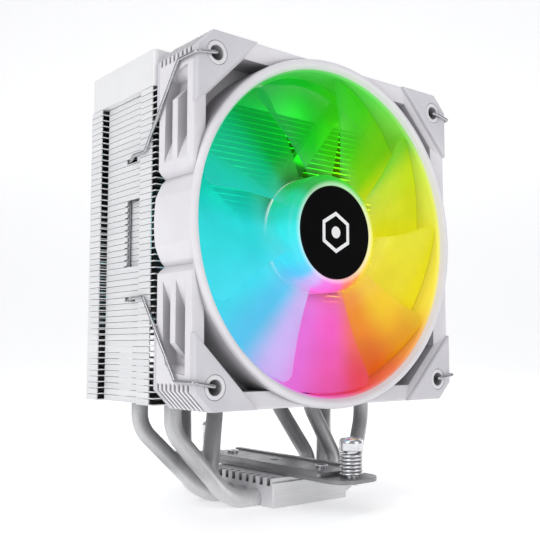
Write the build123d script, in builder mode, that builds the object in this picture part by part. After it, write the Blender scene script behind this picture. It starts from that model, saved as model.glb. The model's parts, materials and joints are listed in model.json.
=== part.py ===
from build123d import *
import math
import os

# A tower cooler for a processor: a finned stack on four heat pipes, with one lit axial fan.
# The origin is the centre of the contact face under the base. +Z is up, +Y points away from
# the fan and +X is to the right when the fan is looked at. All sizes are in millimetres.

os.makedirs("parts", exist_ok=True)

# ---- driving dimensions ---------------------------------------------------------------------

# fan
fan_size = 120.0
fan_half = fan_size / 2
fan_front = -35.5
fan_axis_z = 95.0
corner_cut = 6.25
hole_offset = 52.5
hole_radius = 2.5
boss_radius = 3.85
ring_radius = 61.4
bore_radius = 57.3
frame_front = 1.6
flange_front = 2.4
frame_rear = 22.0
fan_depth = 24.0

# rotor and motor, as depths behind the front of the fan
hub_radius = 21.0
hub_front = 1.2
hub_rear = 15.6
disc_radius = 16.6
disc_front = 1.3
disc_seat = 2.4
hub_floor = 3.9
hub_wall = 1.6
hub_boss_radius = 4.0
hub_boss_length = 2.6
blade_count = 9
blade_start_angle = 12.0
blade_tip_radius = 56.4
blade_front = 2.6
blade_rear = 15.2
blade_half_angle = 28.5
blade_sweep = 9.0
shaft_radius = 1.5
shaft_front = 3.0
shaft_rear = 19.4
yoke_radius = 16.6
yoke_wall = 0.8
yoke_rear = 14.9
magnet_inner_radius = 14.4
magnet_front = 6.0
magnet_rear = 14.5
stator_radius = 13.9
stator_front = 7.0
stator_rear = 13.2
sleeve_bore = 1.53
sleeve_radius = 3.0
sleeve_front = 7.4
sleeve_rear = 17.0
tube_radius = 4.2
tube_front = 6.9
tube_rear = 21.2
cap_front = 20.1
board_radius = 20.8
board_front = 16.4
plate_front = 17.6
plate_radius = 21.9
plate_rim_front = hub_rear + 0.5
plate_rim_wall = 0.7
label_radius = 16.8
label_depth = 0.4
strut_width = 6.2
strut_offset = 18.7
strut_angle = 51.0
strut_front = 18.2
strut_rear = 21.6
strut_count = 4

# fin stack
fin_half_width = 60.0
fin_front = fan_front + fan_depth
fold_front = fin_front + 2.6
fin_rear = 34.9
recess_front = -1.0
recess_rear = 26.5
recess_depth = 2.6
window_rear = 11.6
window_depth = 2.2
fin_bottom = 36.0
fin_top = 142.0
fin_count = 50
fin_pitch = (fin_top - fin_bottom) / fin_count
fin_thickness = 0.4
fold_gap = 0.14
rear_return = 13.0
window_fins = range(22, 33)
# the fins over which the wire clips enter the stack
clip_fins = (16, 39)

# cover
cover_top = 155.0
cover_front = fin_front + 1.7
cover_wall = 1.6

# heat pipes
pipe_radius = 3.0
pipe_axis_z = 2.6
pipe_top = 149.0
outer_leg_x = 45.5
inner_leg_x = 23.5
base_rows = (-11.0, -3.7, 3.7, 11.0)
outer_foot_x = 28.5
inner_foot_x = 33.0
outer_bend_z = 26.0
inner_bend_z = 31.0
outer_bend_radius = 12.0
inner_bend_radius = 9.0
pipe_clearance = 0.04

# base
base_width = 35.0
base_depth = 41.0
base_height = 8.4
comb_height = 1.5
notch_pitch = 4.0
notch_width = 1.8
notch_depth = 3.2
notch_height = 2.6

# crossbar
bar_half_width = 10.0
bar_length = 93.0
bar_corner_radius = 6.5
bar_bottom = base_height + comb_height + 0.1
bar_lower_thickness = 1.4
bar_upper_thickness = 1.4
bar_upper_length = 71.0
rail_width = 2.2
rail_height = 0.7
dimple_radius = 2.0
bar_screw_y = 26.0
bar_screw_radius = 1.2
bar_screw_head_radius = 2.2
bar_screw_head_height = 1.2
bar_screw_socket_radius = 0.9
screw_spacing = 81.5
screw_y = screw_spacing / 2

# spring screws
screw_shank_radius = 2.2
screw_head_radius = 4.1
screw_head_height = 4.2
screw_head_top = 24.4
spring_wire_radius = 0.5
spring_radius = 3.5
spring_turns = 5.5
running_gap = 0.06
move_gap = 0.3

# wire clips
clip_wire_radius = 0.6
clip_bend_radius = 1.2
clip_outer_x = 60.95
clip_inner_x = 56.2
clip_inner_y = 12.3
clip_travel = 2.4
clip_hook_x = 52.9
clip_hook_z = 52.2
clip_corner_z = 50.8

# ---- shared planes and helpers --------------------------------------------------------------

fan_face = Plane(origin=(0, fan_front, fan_axis_z), x_dir=(1, 0, 0), z_dir=(0, -1, 0))
fan_profile = Plane(origin=(0, fan_front, fan_axis_z), x_dir=(1, 0, 0), z_dir=(0, 0, 1))
fan_axis = Axis((0, fan_front, fan_axis_z), (0, 1, 0))


def at_depth(depth):
    """The fan's front plane moved back into the fan."""
    return fan_face.offset(-depth)


def turned(plane, angle):
    """The same plane with its x direction turned by this angle about its normal."""
    normal = Axis((0, 0, 0), plane.z_dir)
    return Plane(origin=plane.origin, x_dir=plane.x_dir.rotate(normal, angle), z_dir=plane.z_dir)


def octagon(half, corner_sum):
    """A square of this half width with 45 degree corners, where |x| + |y| is corner_sum."""
    Rectangle(2 * half, 2 * half)
    chamfer(vertices(), length=2 * half - corner_sum)


def ring_sketch(outer, inner):
    """A flat ring."""
    Circle(outer)
    Circle(inner, mode=Mode.SUBTRACT)


# ---- fan frame ------------------------------------------------------------------------------

square_sum = fan_size - corner_cut
pad_sum = 95.7
lip_half = 59.3
lip_depth = 3.4
pocket_half = 54.4
pocket_sum = 93.7
pocket_rear = 14.0
side_pocket_depth = 4.6
side_pocket_floor = 63.0
corner_post_radius = 7.5
rib_clear = ring_radius + 1
rib_start = flange_front + 0.6
rib_pitch = 2.45
rib_gap = 1.15
rib_depth = 1.6
rib_count = 8
# outline of the pockets in the frame's sides, as depth and distance from the middle
side_pocket = ((5.5, 19.2), (18.6, 19.2), (18.2, 39.0), (16.7, 45.6), (13.3, 48.1), (5.5, 48.8))
# outline of the web in the middle of each pocket, as distances from the axis
side_web = ((54.0, 18.0), (61.0, 18.0), (61.0, 37.8), (54.0, 45.3))
side_web_front = 10.9
side_web_rear = 14.0
# outline of the groove between each flat side and the bulge of the ring
side_groove = (
    (63.0, 16.8),
    (60.0, 16.8),
    (57.2, 14.3),
    (58.6, 12.8),
    (59.8, 10.4),
    (61.3, 7.0),
    (63.0, 7.0),
)
side_groove_front = 1.7

with BuildPart() as side_pockets:
    for quarter in range(4):
        outward = Vector(1, 0, 0).rotate(Axis.Y, 90 * quarter)
        side = Plane(
            origin=Vector(0, fan_front, fan_axis_z) + outward * fan_half,
            x_dir=(0, 1, 0),
            z_dir=outward,
        )
        for hand in (-1, 1):
            with BuildSketch(side):
                with BuildLine():
                    Polyline([(depth, hand * along) for depth, along in side_pocket], close=True)
                make_face()
            extrude(amount=-side_pocket_depth)
    # the floor follows the ring, a round post closes the outer end, a web stands in the middle
    with BuildSketch(at_depth(0)):
        Circle(side_pocket_floor)
        with GridLocations(2 * hole_offset, 2 * hole_offset, 2, 2):
            Circle(corner_post_radius)
    extrude(amount=-fan_depth, mode=Mode.SUBTRACT)
    for quarter in range(4):
        for hand in (-1, 1):
            with BuildSketch(turned(at_depth(side_web_front), 90 * quarter)):
                with BuildLine():
                    Polyline([(out, hand * along) for out, along in side_web], close=True)
                make_face()
            extrude(amount=side_web_front - side_web_rear, mode=Mode.SUBTRACT)

with BuildPart() as fan_frame:
    # square body
    with BuildSketch(at_depth(frame_front)):
        octagon(fan_half, square_sum)
    extrude(amount=-(frame_rear - frame_front))
    # sloped lips that lead into the corner pockets, then the pockets
    with BuildSketch(at_depth(frame_front)):
        octagon(lip_half, pad_sum)
    with BuildSketch(at_depth(lip_depth)):
        octagon(pocket_half, pocket_sum)
    loft(ruled=True, mode=Mode.SUBTRACT)
    with BuildSketch(at_depth(lip_depth)):
        octagon(pocket_half, pocket_sum)
    extrude(amount=-(pocket_rear - lip_depth), mode=Mode.SUBTRACT)
    # seats of the corner pads
    with BuildSketch(at_depth(frame_front)):
        octagon(fan_half, square_sum)
        with BuildSketch(mode=Mode.SUBTRACT):
            octagon(fan_half, pad_sum)
    extrude(amount=-(flange_front - frame_front), mode=Mode.SUBTRACT)
    add(side_pockets.part, mode=Mode.SUBTRACT)
    # round tunnel for the rotor, with a flared mouth
    with BuildSketch(at_depth(0)):
        Circle(ring_radius - 0.6)
    extrude(amount=-frame_rear, mode=Mode.SUBTRACT)
    with BuildSketch(fan_profile):
        with BuildLine():
            mouth = Polyline((bore_radius, 3.2), (bore_radius + 1.3, 0.9))
            crest = ThreePointArc(mouth @ 1, (ring_radius - 1.3, 0.05), (ring_radius - 0.3, 0.7))
            Polyline(
                crest @ 1,
                (ring_radius, frame_front),
                (ring_radius, frame_rear + 0.2),
                (bore_radius + 1.2, frame_rear + 0.2),
                (bore_radius, frame_rear - 2.0),
                mouth @ 0,
            )
        make_face()
    revolve(axis=fan_axis)
    # grooves where the flat sides meet the bulge of the ring
    for quarter in range(4):
        for hand in (-1, 1):
            with BuildSketch(turned(at_depth(side_groove_front), 90 * quarter)):
                with BuildLine():
                    Polyline([(out, hand * along) for out, along in side_groove], close=True)
                make_face()
            extrude(amount=-frame_rear, mode=Mode.SUBTRACT)
    # motor plate with its rim, and the struts that carry it
    with BuildSketch(at_depth(plate_front)):
        Circle(plate_radius)
    extrude(amount=-(frame_rear - plate_front))
    with BuildSketch(at_depth(plate_rim_front)):
        ring_sketch(plate_radius, plate_radius - plate_rim_wall)
    extrude(amount=-(plate_front - plate_rim_front))
    strut_start = math.sqrt(plate_radius**2 - strut_offset**2) - 6
    strut_end = math.sqrt((ring_radius - 1.5) ** 2 - strut_offset**2)
    with BuildSketch(at_depth(strut_front)):
        with PolarLocations(0, strut_count, start_angle=strut_angle):
            with Locations(((strut_start + strut_end) / 2, strut_offset)):
                Rectangle(strut_end - strut_start, strut_width)
    extrude(amount=-(strut_rear - strut_front))
    # seat for the bearing tube and the shallow recess for the label
    with BuildSketch(at_depth(plate_front)):
        Circle(tube_radius)
    extrude(amount=-(frame_rear - plate_front), mode=Mode.SUBTRACT)
    with BuildSketch(at_depth(frame_rear - label_depth)):
        Circle(label_radius + 0.2)
    extrude(amount=-label_depth, mode=Mode.SUBTRACT)
    # bosses and holes in the corners
    for depth, length in ((0.1, flange_front), (frame_rear - 0.5, fan_depth - frame_rear + 0.4)):
        with BuildSketch(at_depth(depth)):
            with GridLocations(2 * hole_offset, 2 * hole_offset, 2, 2):
                Circle(boss_radius)
        extrude(amount=-length)
    with BuildSketch(at_depth(0)):
        with GridLocations(2 * hole_offset, 2 * hole_offset, 2, 2):
            Circle(hole_radius)
    extrude(amount=-fan_depth, mode=Mode.SUBTRACT)
    # fine ribs across the cut corners
    for rib in range(rib_count):
        with BuildSketch(at_depth(rib_start + rib * rib_pitch)):
            Rectangle(2 * rib_clear, 2 * rib_clear)
            with BuildSketch(mode=Mode.SUBTRACT):
                octagon(rib_clear, square_sum - rib_depth * math.sqrt(2))
        extrude(amount=-rib_gap, mode=Mode.SUBTRACT)

fan_frame.part.label = "fan_frame"
export_step(fan_frame.part, "parts/fan_frame.step")

# ---- rubber pads on the frame's corners, front and back -------------------------------------

pad_edge = pad_sum - fan_half

for side_name, pad_start, pad_depth, outer_faces in (
    ("front", 0.0, flange_front, 0),
    ("rear", frame_rear, fan_depth - frame_rear - 0.05, -1),
):
    for quarter, corner in enumerate(("upper_right", "upper_left", "lower_left", "lower_right")):
        with BuildPart() as corner_pad:
            with BuildSketch(turned(at_depth(pad_start), 90 * quarter)):
                with BuildLine():
                    Polyline(
                        (pad_edge, fan_half),
                        (fan_half - corner_cut, fan_half),
                        (fan_half, fan_half - corner_cut),
                        (fan_half, pad_edge),
                        close=True,
                    )
                make_face()
                with Locations((hole_offset, hole_offset)):
                    Circle(boss_radius + 0.15, mode=Mode.SUBTRACT)
            extrude(amount=-pad_depth)
            face_edges = corner_pad.faces().sort_by(Axis.Y)[outer_faces].edges()
            fillet(face_edges.filter_by(GeomType.LINE), radius=0.6)
        corner_pad.part.label = f"corner_pad_{side_name}_{corner}"
        export_step(corner_pad.part, f"parts/corner_pad_{side_name}_{corner}.step")

# ---- rotor: impeller, front disc, steel yoke, magnet and shaft ------------------------------

# One blade about the fan's axis, in a frame whose Z points forward out of the fan.
blade_stations = (17.0, 38.0, 60.0)
blade_half_thickness = 0.55
blade_middle = (blade_front + blade_rear) / 2 + 1.2

with BuildPart() as blade:
    for station in blade_stations:
        lean = math.radians(blade_sweep) * (station - hub_radius) / (blade_tip_radius - hub_radius)
        middle = station * math.tan(lean)
        reach = station * math.tan(math.radians(blade_half_angle))
        with BuildSketch(Plane(origin=(station, 0, 0), x_dir=(0, 1, 0), z_dir=(1, 0, 0))):
            with BuildLine():
                upper = ThreePointArc(
                    (middle - reach, -blade_rear + blade_half_thickness),
                    (middle, -blade_middle + 1.6 * blade_half_thickness),
                    (middle + reach, -blade_front),
                )
                lower = ThreePointArc(
                    (middle + reach, -blade_front - blade_half_thickness),
                    (middle, -blade_middle - 1.6 * blade_half_thickness),
                    (middle - reach, -blade_rear),
                )
                Line(upper @ 1, lower @ 0)
                Line(lower @ 1, upper @ 0)
            make_face()
    loft()
    with BuildSketch(Plane.XY.offset(-blade_rear - 1)):
        ring_sketch(blade_tip_radius, hub_radius - 0.8)
    extrude(amount=blade_rear + 2, mode=Mode.INTERSECT)

seat_radius = disc_radius + 0.1

with BuildPart() as fan_impeller:
    with BuildSketch(fan_profile):
        with BuildLine():
            face = Polyline((0, disc_seat), (seat_radius, disc_seat), (seat_radius, hub_front + 0.2))
            rim = ThreePointArc(
                face @ 1,
                (seat_radius + 0.4, hub_front),
                (seat_radius + 1.0, hub_front + 0.1),
            )
            shoulder = ThreePointArc(
                rim @ 1,
                (hub_radius - 1.4, hub_front + 1.2),
                (hub_radius - 0.4, hub_front + 4.0),
            )
            skirt = Polyline(
                shoulder @ 1,
                (hub_radius, hub_rear),
                (hub_radius - hub_wall, hub_rear),
                (hub_radius - hub_wall - 0.3, hub_floor + 2.7),
            )
            inside = ThreePointArc(
                skirt @ 1,
                (hub_radius - hub_wall - 1.0, hub_floor + 0.8),
                (yoke_radius + 0.1, hub_floor),
            )
            Polyline(inside @ 1, (0, hub_floor), face @ 0)
        make_face()
    revolve(axis=fan_axis)
    with BuildSketch(at_depth(hub_floor)):
        Circle(hub_boss_radius)
    extrude(amount=-hub_boss_length)
    with Locations(fan_face):
        with PolarLocations(0, blade_count, start_angle=blade_start_angle):
            add(blade.part)
    with BuildSketch(at_depth(shaft_front)):
        Circle(shaft_radius)
    extrude(amount=-(hub_floor + hub_boss_length - shaft_front), mode=Mode.SUBTRACT)

fan_impeller.part.label = "fan_impeller"
export_step(fan_impeller.part, "parts/fan_impeller.step")

with BuildPart() as hub_disc:
    with BuildSketch(at_depth(disc_front)):
        Circle(disc_radius)
    extrude(amount=-(disc_seat - disc_front))
    fillet(hub_disc.edges().group_by(Axis.Y)[0], radius=0.3)

hub_disc.part.label = "hub_disc"
export_step(hub_disc.part, "parts/hub_disc.step")

with BuildPart() as rotor_yoke:
    with BuildSketch(at_depth(hub_floor)):
        Circle(yoke_radius)
    extrude(amount=-(yoke_rear - hub_floor))
    fillet(rotor_yoke.edges().group_by(Axis.Y)[0], radius=0.6)
    with BuildSketch(at_depth(hub_floor + yoke_wall)):
        Circle(yoke_radius - yoke_wall)
    extrude(amount=-(yoke_rear - hub_floor), mode=Mode.SUBTRACT)
    with BuildSketch(at_depth(hub_floor)):
        Circle(hub_boss_radius + running_gap)
    extrude(amount=-yoke_wall, mode=Mode.SUBTRACT)

rotor_yoke.part.label = "rotor_yoke"
export_step(rotor_yoke.part, "parts/rotor_yoke.step")

with BuildPart() as magnet_ring:
    with BuildSketch(at_depth(magnet_front)):
        ring_sketch(yoke_radius - yoke_wall, magnet_inner_radius)
    extrude(amount=-(magnet_rear - magnet_front))

magnet_ring.part.label = "magnet_ring"
export_step(magnet_ring.part, "parts/magnet_ring.step")

groove_depth = 17.6
groove_width = 0.7
groove_cut = 0.35

with BuildPart() as shaft:
    with BuildSketch(at_depth(shaft_front)):
        Circle(shaft_radius)
    extrude(amount=-(shaft_rear - shaft_front))
    chamfer(shaft.edges().group_by(Axis.Y)[-1], length=0.3)
    with BuildSketch(at_depth(groove_depth)):
        ring_sketch(shaft_radius + 1, shaft_radius - groove_cut)
    extrude(amount=-groove_width, mode=Mode.SUBTRACT)

shaft.part.label = "shaft"
export_step(shaft.part, "parts/shaft.step")

with BuildPart() as shaft_clip:
    with BuildSketch(at_depth(groove_depth + 0.05)):
        ring_sketch(shaft_radius + 1, shaft_radius - groove_cut)
    extrude(amount=-(groove_width - 0.1))

shaft_clip.part.label = "shaft_clip"
export_step(shaft_clip.part, "parts/shaft_clip.step")

# ---- stator: bearing tube, sleeve, core, bobbins, coils, board and lamps --------------------

with BuildPart() as bearing_tube:
    with BuildSketch(at_depth(tube_front)):
        ring_sketch(tube_radius, sleeve_radius)
    extrude(amount=-(tube_rear - tube_front))

bearing_tube.part.label = "bearing_tube"
export_step(bearing_tube.part, "parts/bearing_tube.step")

with BuildPart() as bearing_sleeve:
    with BuildSketch(at_depth(sleeve_front)):
        ring_sketch(sleeve_radius, sleeve_bore)
    extrude(amount=-(sleeve_rear - sleeve_front))

bearing_sleeve.part.label = "bearing_sleeve"
export_step(bearing_sleeve.part, "parts/bearing_sleeve.step")

with BuildPart() as thrust_cap:
    with BuildSketch(at_depth(cap_front)):
        Circle(sleeve_radius)
    extrude(amount=-(tube_rear - cap_front))

thrust_cap.part.label = "thrust_cap"
export_step(thrust_cap.part, "parts/thrust_cap.step")

pole_count = 4
neck_width = 3.6
shoe_inner_radius = 12.0
shoe_gap = 3.2
core_radius = 6.4

with BuildPart() as stator_core:
    with BuildSketch(at_depth(stator_front)):
        ring_sketch(stator_radius, shoe_inner_radius)
        with PolarLocations(0, pole_count, start_angle=180 / pole_count):
            with Locations((stator_radius, 0)):
                Rectangle(2 * (stator_radius - shoe_inner_radius) + 4, shoe_gap, mode=Mode.SUBTRACT)
        Circle(core_radius)
        with PolarLocations(0, pole_count):
            with Locations(((core_radius + shoe_inner_radius) / 2 - 0.8, 0)):
                Rectangle(shoe_inner_radius - core_radius + 2.4, neck_width)
        Circle(tube_radius, mode=Mode.SUBTRACT)
    extrude(amount=-(stator_rear - stator_front))

stator_core.part.label = "stator_core"
export_step(stator_core.part, "parts/stator_core.step")

bobbin_wall = 0.5
coil_build = 1.5
coil_start = 7.1
coil_end = 11.3
stator_middle = (stator_front + stator_rear) / 2
stator_height = stator_rear - stator_front


def wrapped_neck(inner_growth, outer_growth):
    """A box round the pole neck on local X, hollow for everything inside inner_growth."""
    Rectangle(neck_width + 2 * outer_growth, stator_height + 2 * outer_growth)
    Rectangle(neck_width + 2 * inner_growth, stator_height + 2 * inner_growth, mode=Mode.SUBTRACT)


def neck_plane(quarter):
    """A plane across one pole neck, where its bobbin starts, facing outward."""
    outward = Vector(1, 0, 0).rotate(Axis.Y, 90 * quarter)
    centre = Vector(0, fan_front + stator_middle, fan_axis_z) + outward * coil_start
    return Plane(origin=centre, x_dir=outward.cross(Vector(0, 1, 0)), z_dir=outward)


with BuildPart() as coil_bobbins:
    for quarter in range(pole_count):
        with BuildSketch(neck_plane(quarter)):
            wrapped_neck(0, bobbin_wall)
        extrude(amount=coil_end - coil_start)

coil_bobbins.part.label = "coil_bobbins"
export_step(coil_bobbins.part, "parts/coil_bobbins.step")

with BuildPart() as stator_coils:
    for quarter in range(pole_count):
        with BuildSketch(neck_plane(quarter)):
            wrapped_neck(bobbin_wall, bobbin_wall + coil_build)
        extrude(amount=coil_end - coil_start)

stator_coils.part.label = "stator_coils"
export_step(stator_coils.part, "parts/stator_coils.step")

with BuildPart() as circuit_board:
    with BuildSketch(at_depth(board_front)):
        ring_sketch(board_radius, tube_radius + running_gap)
    extrude(amount=-(plate_front - board_front))

circuit_board.part.label = "circuit_board"
export_step(circuit_board.part, "parts/circuit_board.step")

lamp_count = 8
lamp_circle_radius = 18.0
lamp_width = 1.5
lamp_height = 0.9

with BuildPart() as fan_lamps:
    with BuildSketch(at_depth(board_front)):
        with PolarLocations(lamp_circle_radius, lamp_count):
            Rectangle(lamp_width, lamp_width)
    extrude(amount=lamp_height)

fan_lamps.part.label = "fan_lamps"
export_step(fan_lamps.part, "parts/fan_lamps.step")

with BuildPart() as rear_label:
    with BuildSketch(at_depth(frame_rear - label_depth)):
        Circle(label_radius)
    extrude(amount=-label_depth / 2)

rear_label.part.label = "rear_label"
export_step(rear_label.part, "parts/rear_label.step")

# ---- heat pipes: four U-shaped pipes through the base and the fins --------------------------

# Each pipe stands at its leg's place in the stack and runs under the base at its row.
pipe_routes = (
    ("front_outer", outer_leg_x, outer_foot_x, -0.8, base_rows[0], outer_bend_z, outer_bend_radius),
    ("front_inner", inner_leg_x, inner_foot_x, 5.5, base_rows[1], inner_bend_z, inner_bend_radius),
    ("rear_outer", outer_leg_x, outer_foot_x, 21.4, base_rows[2], outer_bend_z, outer_bend_radius),
    ("rear_inner", inner_leg_x, inner_foot_x, 26.3, base_rows[3], inner_bend_z, inner_bend_radius),
)

for pipe_name, leg_x, foot_x, leg_y, row_y, bend_z, bend_radius in pipe_routes:
    with BuildPart() as heat_pipe:
        with BuildLine() as pipe_path:
            FilletPolyline(
                (-leg_x, leg_y, pipe_top),
                (-leg_x, leg_y, bend_z),
                (-foot_x, row_y, pipe_axis_z),
                (foot_x, row_y, pipe_axis_z),
                (leg_x, leg_y, bend_z),
                (leg_x, leg_y, pipe_top),
                radius=bend_radius,
            )
        with BuildSketch(Plane(origin=(-leg_x, leg_y, pipe_top), z_dir=(0, 0, -1))):
            Circle(pipe_radius)
        sweep()
        # closed, rounded tips
        fillet(heat_pipe.edges().filter_by(GeomType.CIRCLE).group_by(Axis.Z)[-1], radius=2.0)
        # the underside is pressed flat, level with the contact face
        split(bisect_by=Plane.XY, keep=Keep.TOP)
    heat_pipe.part.label = f"heat_pipe_{pipe_name}"
    export_step(heat_pipe.part, f"parts/heat_pipe_{pipe_name}.step")

# ---- fins: thin plates with folded edges that close the sides of the stack ------------------

fold_height = fin_pitch - fin_thickness - fold_gap


def side_notch(start_y, end_y, depth):
    """Notches cut into both side edges of the fin sketch."""
    for hand in (-1, 1):
        with Locations((hand * (fin_half_width - depth / 2), (start_y + end_y) / 2)):
            Rectangle(depth, end_y - start_y, mode=Mode.SUBTRACT)


def fold(face_x, start_y, end_y):
    """The outline of one folded edge, whose outer face is at face_x on both sides."""
    for hand in (-1, 1):
        with Locations((hand * (face_x - fin_thickness / 2), (start_y + end_y) / 2)):
            Rectangle(fin_thickness, end_y - start_y)


def side_folds(kind):
    """Outlines of the folded edges: deeper at the window, open where a wire clip enters."""
    fold(fin_half_width, fold_front, recess_front - fin_thickness)
    if kind == "window":
        fold(groove_x - window_depth, recess_front, channel_rear)
        fold(groove_x, window_rear, recess_rear - fin_thickness)
    elif kind == "clip":
        fold(groove_x, recess_front, clip_mouth_front)
        fold(groove_x, clip_mouth_rear, recess_rear - fin_thickness)
    else:
        fold(groove_x, recess_front, recess_rear - fin_thickness)
    fold(fin_half_width, recess_rear + fin_thickness, fin_rear)
    # the rear folds return a little way along the back
    for hand in (-1, 1):
        with Locations((hand * (fin_half_width - rear_return / 2), fin_rear - fin_thickness / 2)):
            Rectangle(rear_return, fin_thickness)


pipe_holes = [(hand * route[1], route[3]) for route in pipe_routes for hand in (-1, 1)]
groove_x = fin_half_width - recess_depth
# the channel behind the folds in which the wire clips stand, with room for their travel
channel_front = clip_inner_y - clip_wire_radius - clip_travel - move_gap
channel_rear = clip_inner_y + clip_wire_radius + move_gap
channel_middle = (channel_front + channel_rear) / 2
channel_outer = groove_x - fin_thickness
channel_inner = clip_inner_x - clip_wire_radius - move_gap
clip_mouth_front = 5.2
clip_mouth_rear = 12.3

fins = {}
for kind in ("plain", "clip", "window"):
    with BuildPart() as fin:
        with BuildSketch(Plane.XY):
            with Locations((0, (fin_front + fin_rear) / 2)):
                Rectangle(2 * fin_half_width, fin_rear - fin_front)
            side_notch(recess_front, recess_rear, recess_depth)
            if kind == "window":
                side_notch(recess_front, channel_rear, recess_depth + window_depth)
            else:
                for hand in (-1, 1):
                    with Locations((hand * (channel_outer + channel_inner) / 2, channel_middle)):
                        Rectangle(
                            channel_outer - channel_inner,
                            channel_rear - channel_front,
                            mode=Mode.SUBTRACT,
                        )
            with Locations(*pipe_holes):
                Circle(pipe_radius + pipe_clearance, mode=Mode.SUBTRACT)
        extrude(amount=fin_thickness)
        with BuildSketch(Plane.XY.offset(fin_thickness)):
            side_folds(kind)
        extrude(amount=fold_height)
    fins[kind] = fin.part


def kind_of(index):
    """Which of the three fins stands at this place in the stack."""
    if index in window_fins:
        return "window"
    return "clip" if index in clip_fins else "plain"


for stack_name, first, last in (
    ("fins_lower", 0, window_fins.start),
    ("fins_window", window_fins.start, window_fins.stop),
    ("fins_upper", window_fins.stop, fin_count),
):
    with BuildPart() as stack:
        for index in range(first, last):
            with Locations((0, 0, fin_bottom + index * fin_pitch)):
                add(fins[kind_of(index)])
    stack.part.label = stack_name
    export_step(stack.part, f"parts/{stack_name}.step")

# ---- cover over the top of the stack --------------------------------------------------------

cover_depth = fin_rear - cover_front
cover_middle = (fin_rear + cover_front) / 2

with BuildPart() as top_cover:
    with BuildSketch(Plane.XY.offset(fin_top)):
        with Locations((0, cover_middle)):
            Rectangle(2 * fin_half_width, cover_depth)
    extrude(amount=cover_top - fin_top)
    fillet(top_cover.edges().filter_by(Axis.Z), radius=1.6)
    fillet(top_cover.edges().group_by(Axis.Z)[-1], radius=0.8)
    with BuildSketch(Plane.XY.offset(fin_top)):
        with Locations((0, cover_middle)):
            Rectangle(2 * (fin_half_width - cover_wall), cover_depth - 2 * cover_wall)
    extrude(amount=cover_top - fin_top - cover_wall, mode=Mode.SUBTRACT)
    # ledges over the recess in the stack's sides
    ledge_width = recess_depth + fin_thickness
    with BuildSketch(Plane.XY.offset(fin_top)):
        for hand in (-1, 1):
            with Locations((hand * (fin_half_width - ledge_width / 2), cover_middle)):
                Rectangle(ledge_width - cover_wall / 2, cover_depth - cover_wall)
    extrude(amount=cover_wall)

top_cover.part.label = "top_cover"
export_step(top_cover.part, "parts/top_cover.step")

# ---- base block -----------------------------------------------------------------------------

with BuildPart() as base_block:
    with BuildSketch(Plane.XY):
        Rectangle(base_width, base_depth)
    extrude(amount=base_height)
    chamfer(base_block.edges().filter_by(Axis.Z), length=0.4)
    # toothed plate on top
    with BuildSketch(Plane.XY.offset(base_height)):
        Rectangle(base_width, base_depth - 1.6)
    extrude(amount=comb_height)
    notch_count = int(base_depth / notch_pitch)
    with BuildSketch(Plane.XY.offset(base_height + comb_height - notch_height)):
        for hand in (-1, 1):
            with Locations((hand * (base_width - notch_depth) / 2, 0)):
                with GridLocations(1, notch_pitch, 1, notch_count):
                    Rectangle(notch_depth, notch_width)
    extrude(amount=notch_height, mode=Mode.SUBTRACT)
    # grooves for the pipes, open at the contact face
    for row_y in base_rows:
        with BuildSketch(Plane.YZ.offset(-base_width / 2)):
            with Locations((row_y, pipe_axis_z)):
                Circle(pipe_radius + pipe_clearance)
        extrude(amount=base_width, mode=Mode.SUBTRACT)

base_block.part.label = "base_block"
export_step(base_block.part, "parts/base_block.step")

# ---- crossbar: spring plate, stiffener and their two screws ---------------------------------

lower_top = bar_bottom + bar_lower_thickness
upper_top = lower_top + bar_upper_thickness

with BuildPart() as crossbar_plate:
    with BuildSketch(Plane.XY.offset(bar_bottom)) as plate_outline:
        Rectangle(2 * bar_half_width, bar_length)
        fillet(plate_outline.vertices(), radius=bar_corner_radius)
        with Locations((0, screw_y), (0, -screw_y)):
            Circle(screw_shank_radius + running_gap, mode=Mode.SUBTRACT)
        with Locations((0, bar_screw_y), (0, -bar_screw_y)):
            Circle(bar_screw_radius, mode=Mode.SUBTRACT)
    extrude(amount=bar_lower_thickness)

crossbar_plate.part.label = "crossbar_plate"
export_step(crossbar_plate.part, "parts/crossbar_plate.step")

with BuildPart() as crossbar_stiffener:
    with BuildSketch(Plane.XY.offset(lower_top)) as stiffener_outline:
        Rectangle(2 * bar_half_width, bar_upper_length)
        fillet(stiffener_outline.vertices(), radius=1.0)
        with Locations((0, bar_screw_y), (0, -bar_screw_y)):
            Circle(bar_screw_radius, mode=Mode.SUBTRACT)
    extrude(amount=bar_upper_thickness)
    # raised edges
    with BuildSketch(Plane.XY.offset(upper_top)):
        with Locations((bar_half_width - rail_width / 2, 0), (rail_width / 2 - bar_half_width, 0)):
            Rectangle(rail_width, bar_upper_length - 2)
    extrude(amount=rail_height)
    # the dimple that centres the load
    with Locations((0, 0, upper_top + dimple_radius / 2)):
        Sphere(dimple_radius, mode=Mode.SUBTRACT)

crossbar_stiffener.part.label = "crossbar_stiffener"
export_step(crossbar_stiffener.part, "parts/crossbar_stiffener.step")

with BuildPart() as crossbar_screws:
    with BuildSketch(Plane.XY.offset(bar_bottom)):
        with Locations((0, bar_screw_y), (0, -bar_screw_y)):
            Circle(bar_screw_radius)
    extrude(amount=upper_top - bar_bottom)
    with BuildSketch(Plane.XY.offset(upper_top)):
        with Locations((0, bar_screw_y), (0, -bar_screw_y)):
            Circle(bar_screw_head_radius)
    extrude(amount=bar_screw_head_height)
    fillet(crossbar_screws.edges().group_by(Axis.Z)[-1], radius=0.4)
    with BuildSketch(Plane.XY.offset(upper_top + 0.5)):
        with Locations((0, bar_screw_y), (0, -bar_screw_y)):
            RegularPolygon(bar_screw_socket_radius, 6)
    extrude(amount=bar_screw_head_height, mode=Mode.SUBTRACT)

crossbar_screws.part.label = "crossbar_screws"
export_step(crossbar_screws.part, "parts/crossbar_screws.step")

# ---- spring screws at both ends of the crossbar ---------------------------------------------

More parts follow.
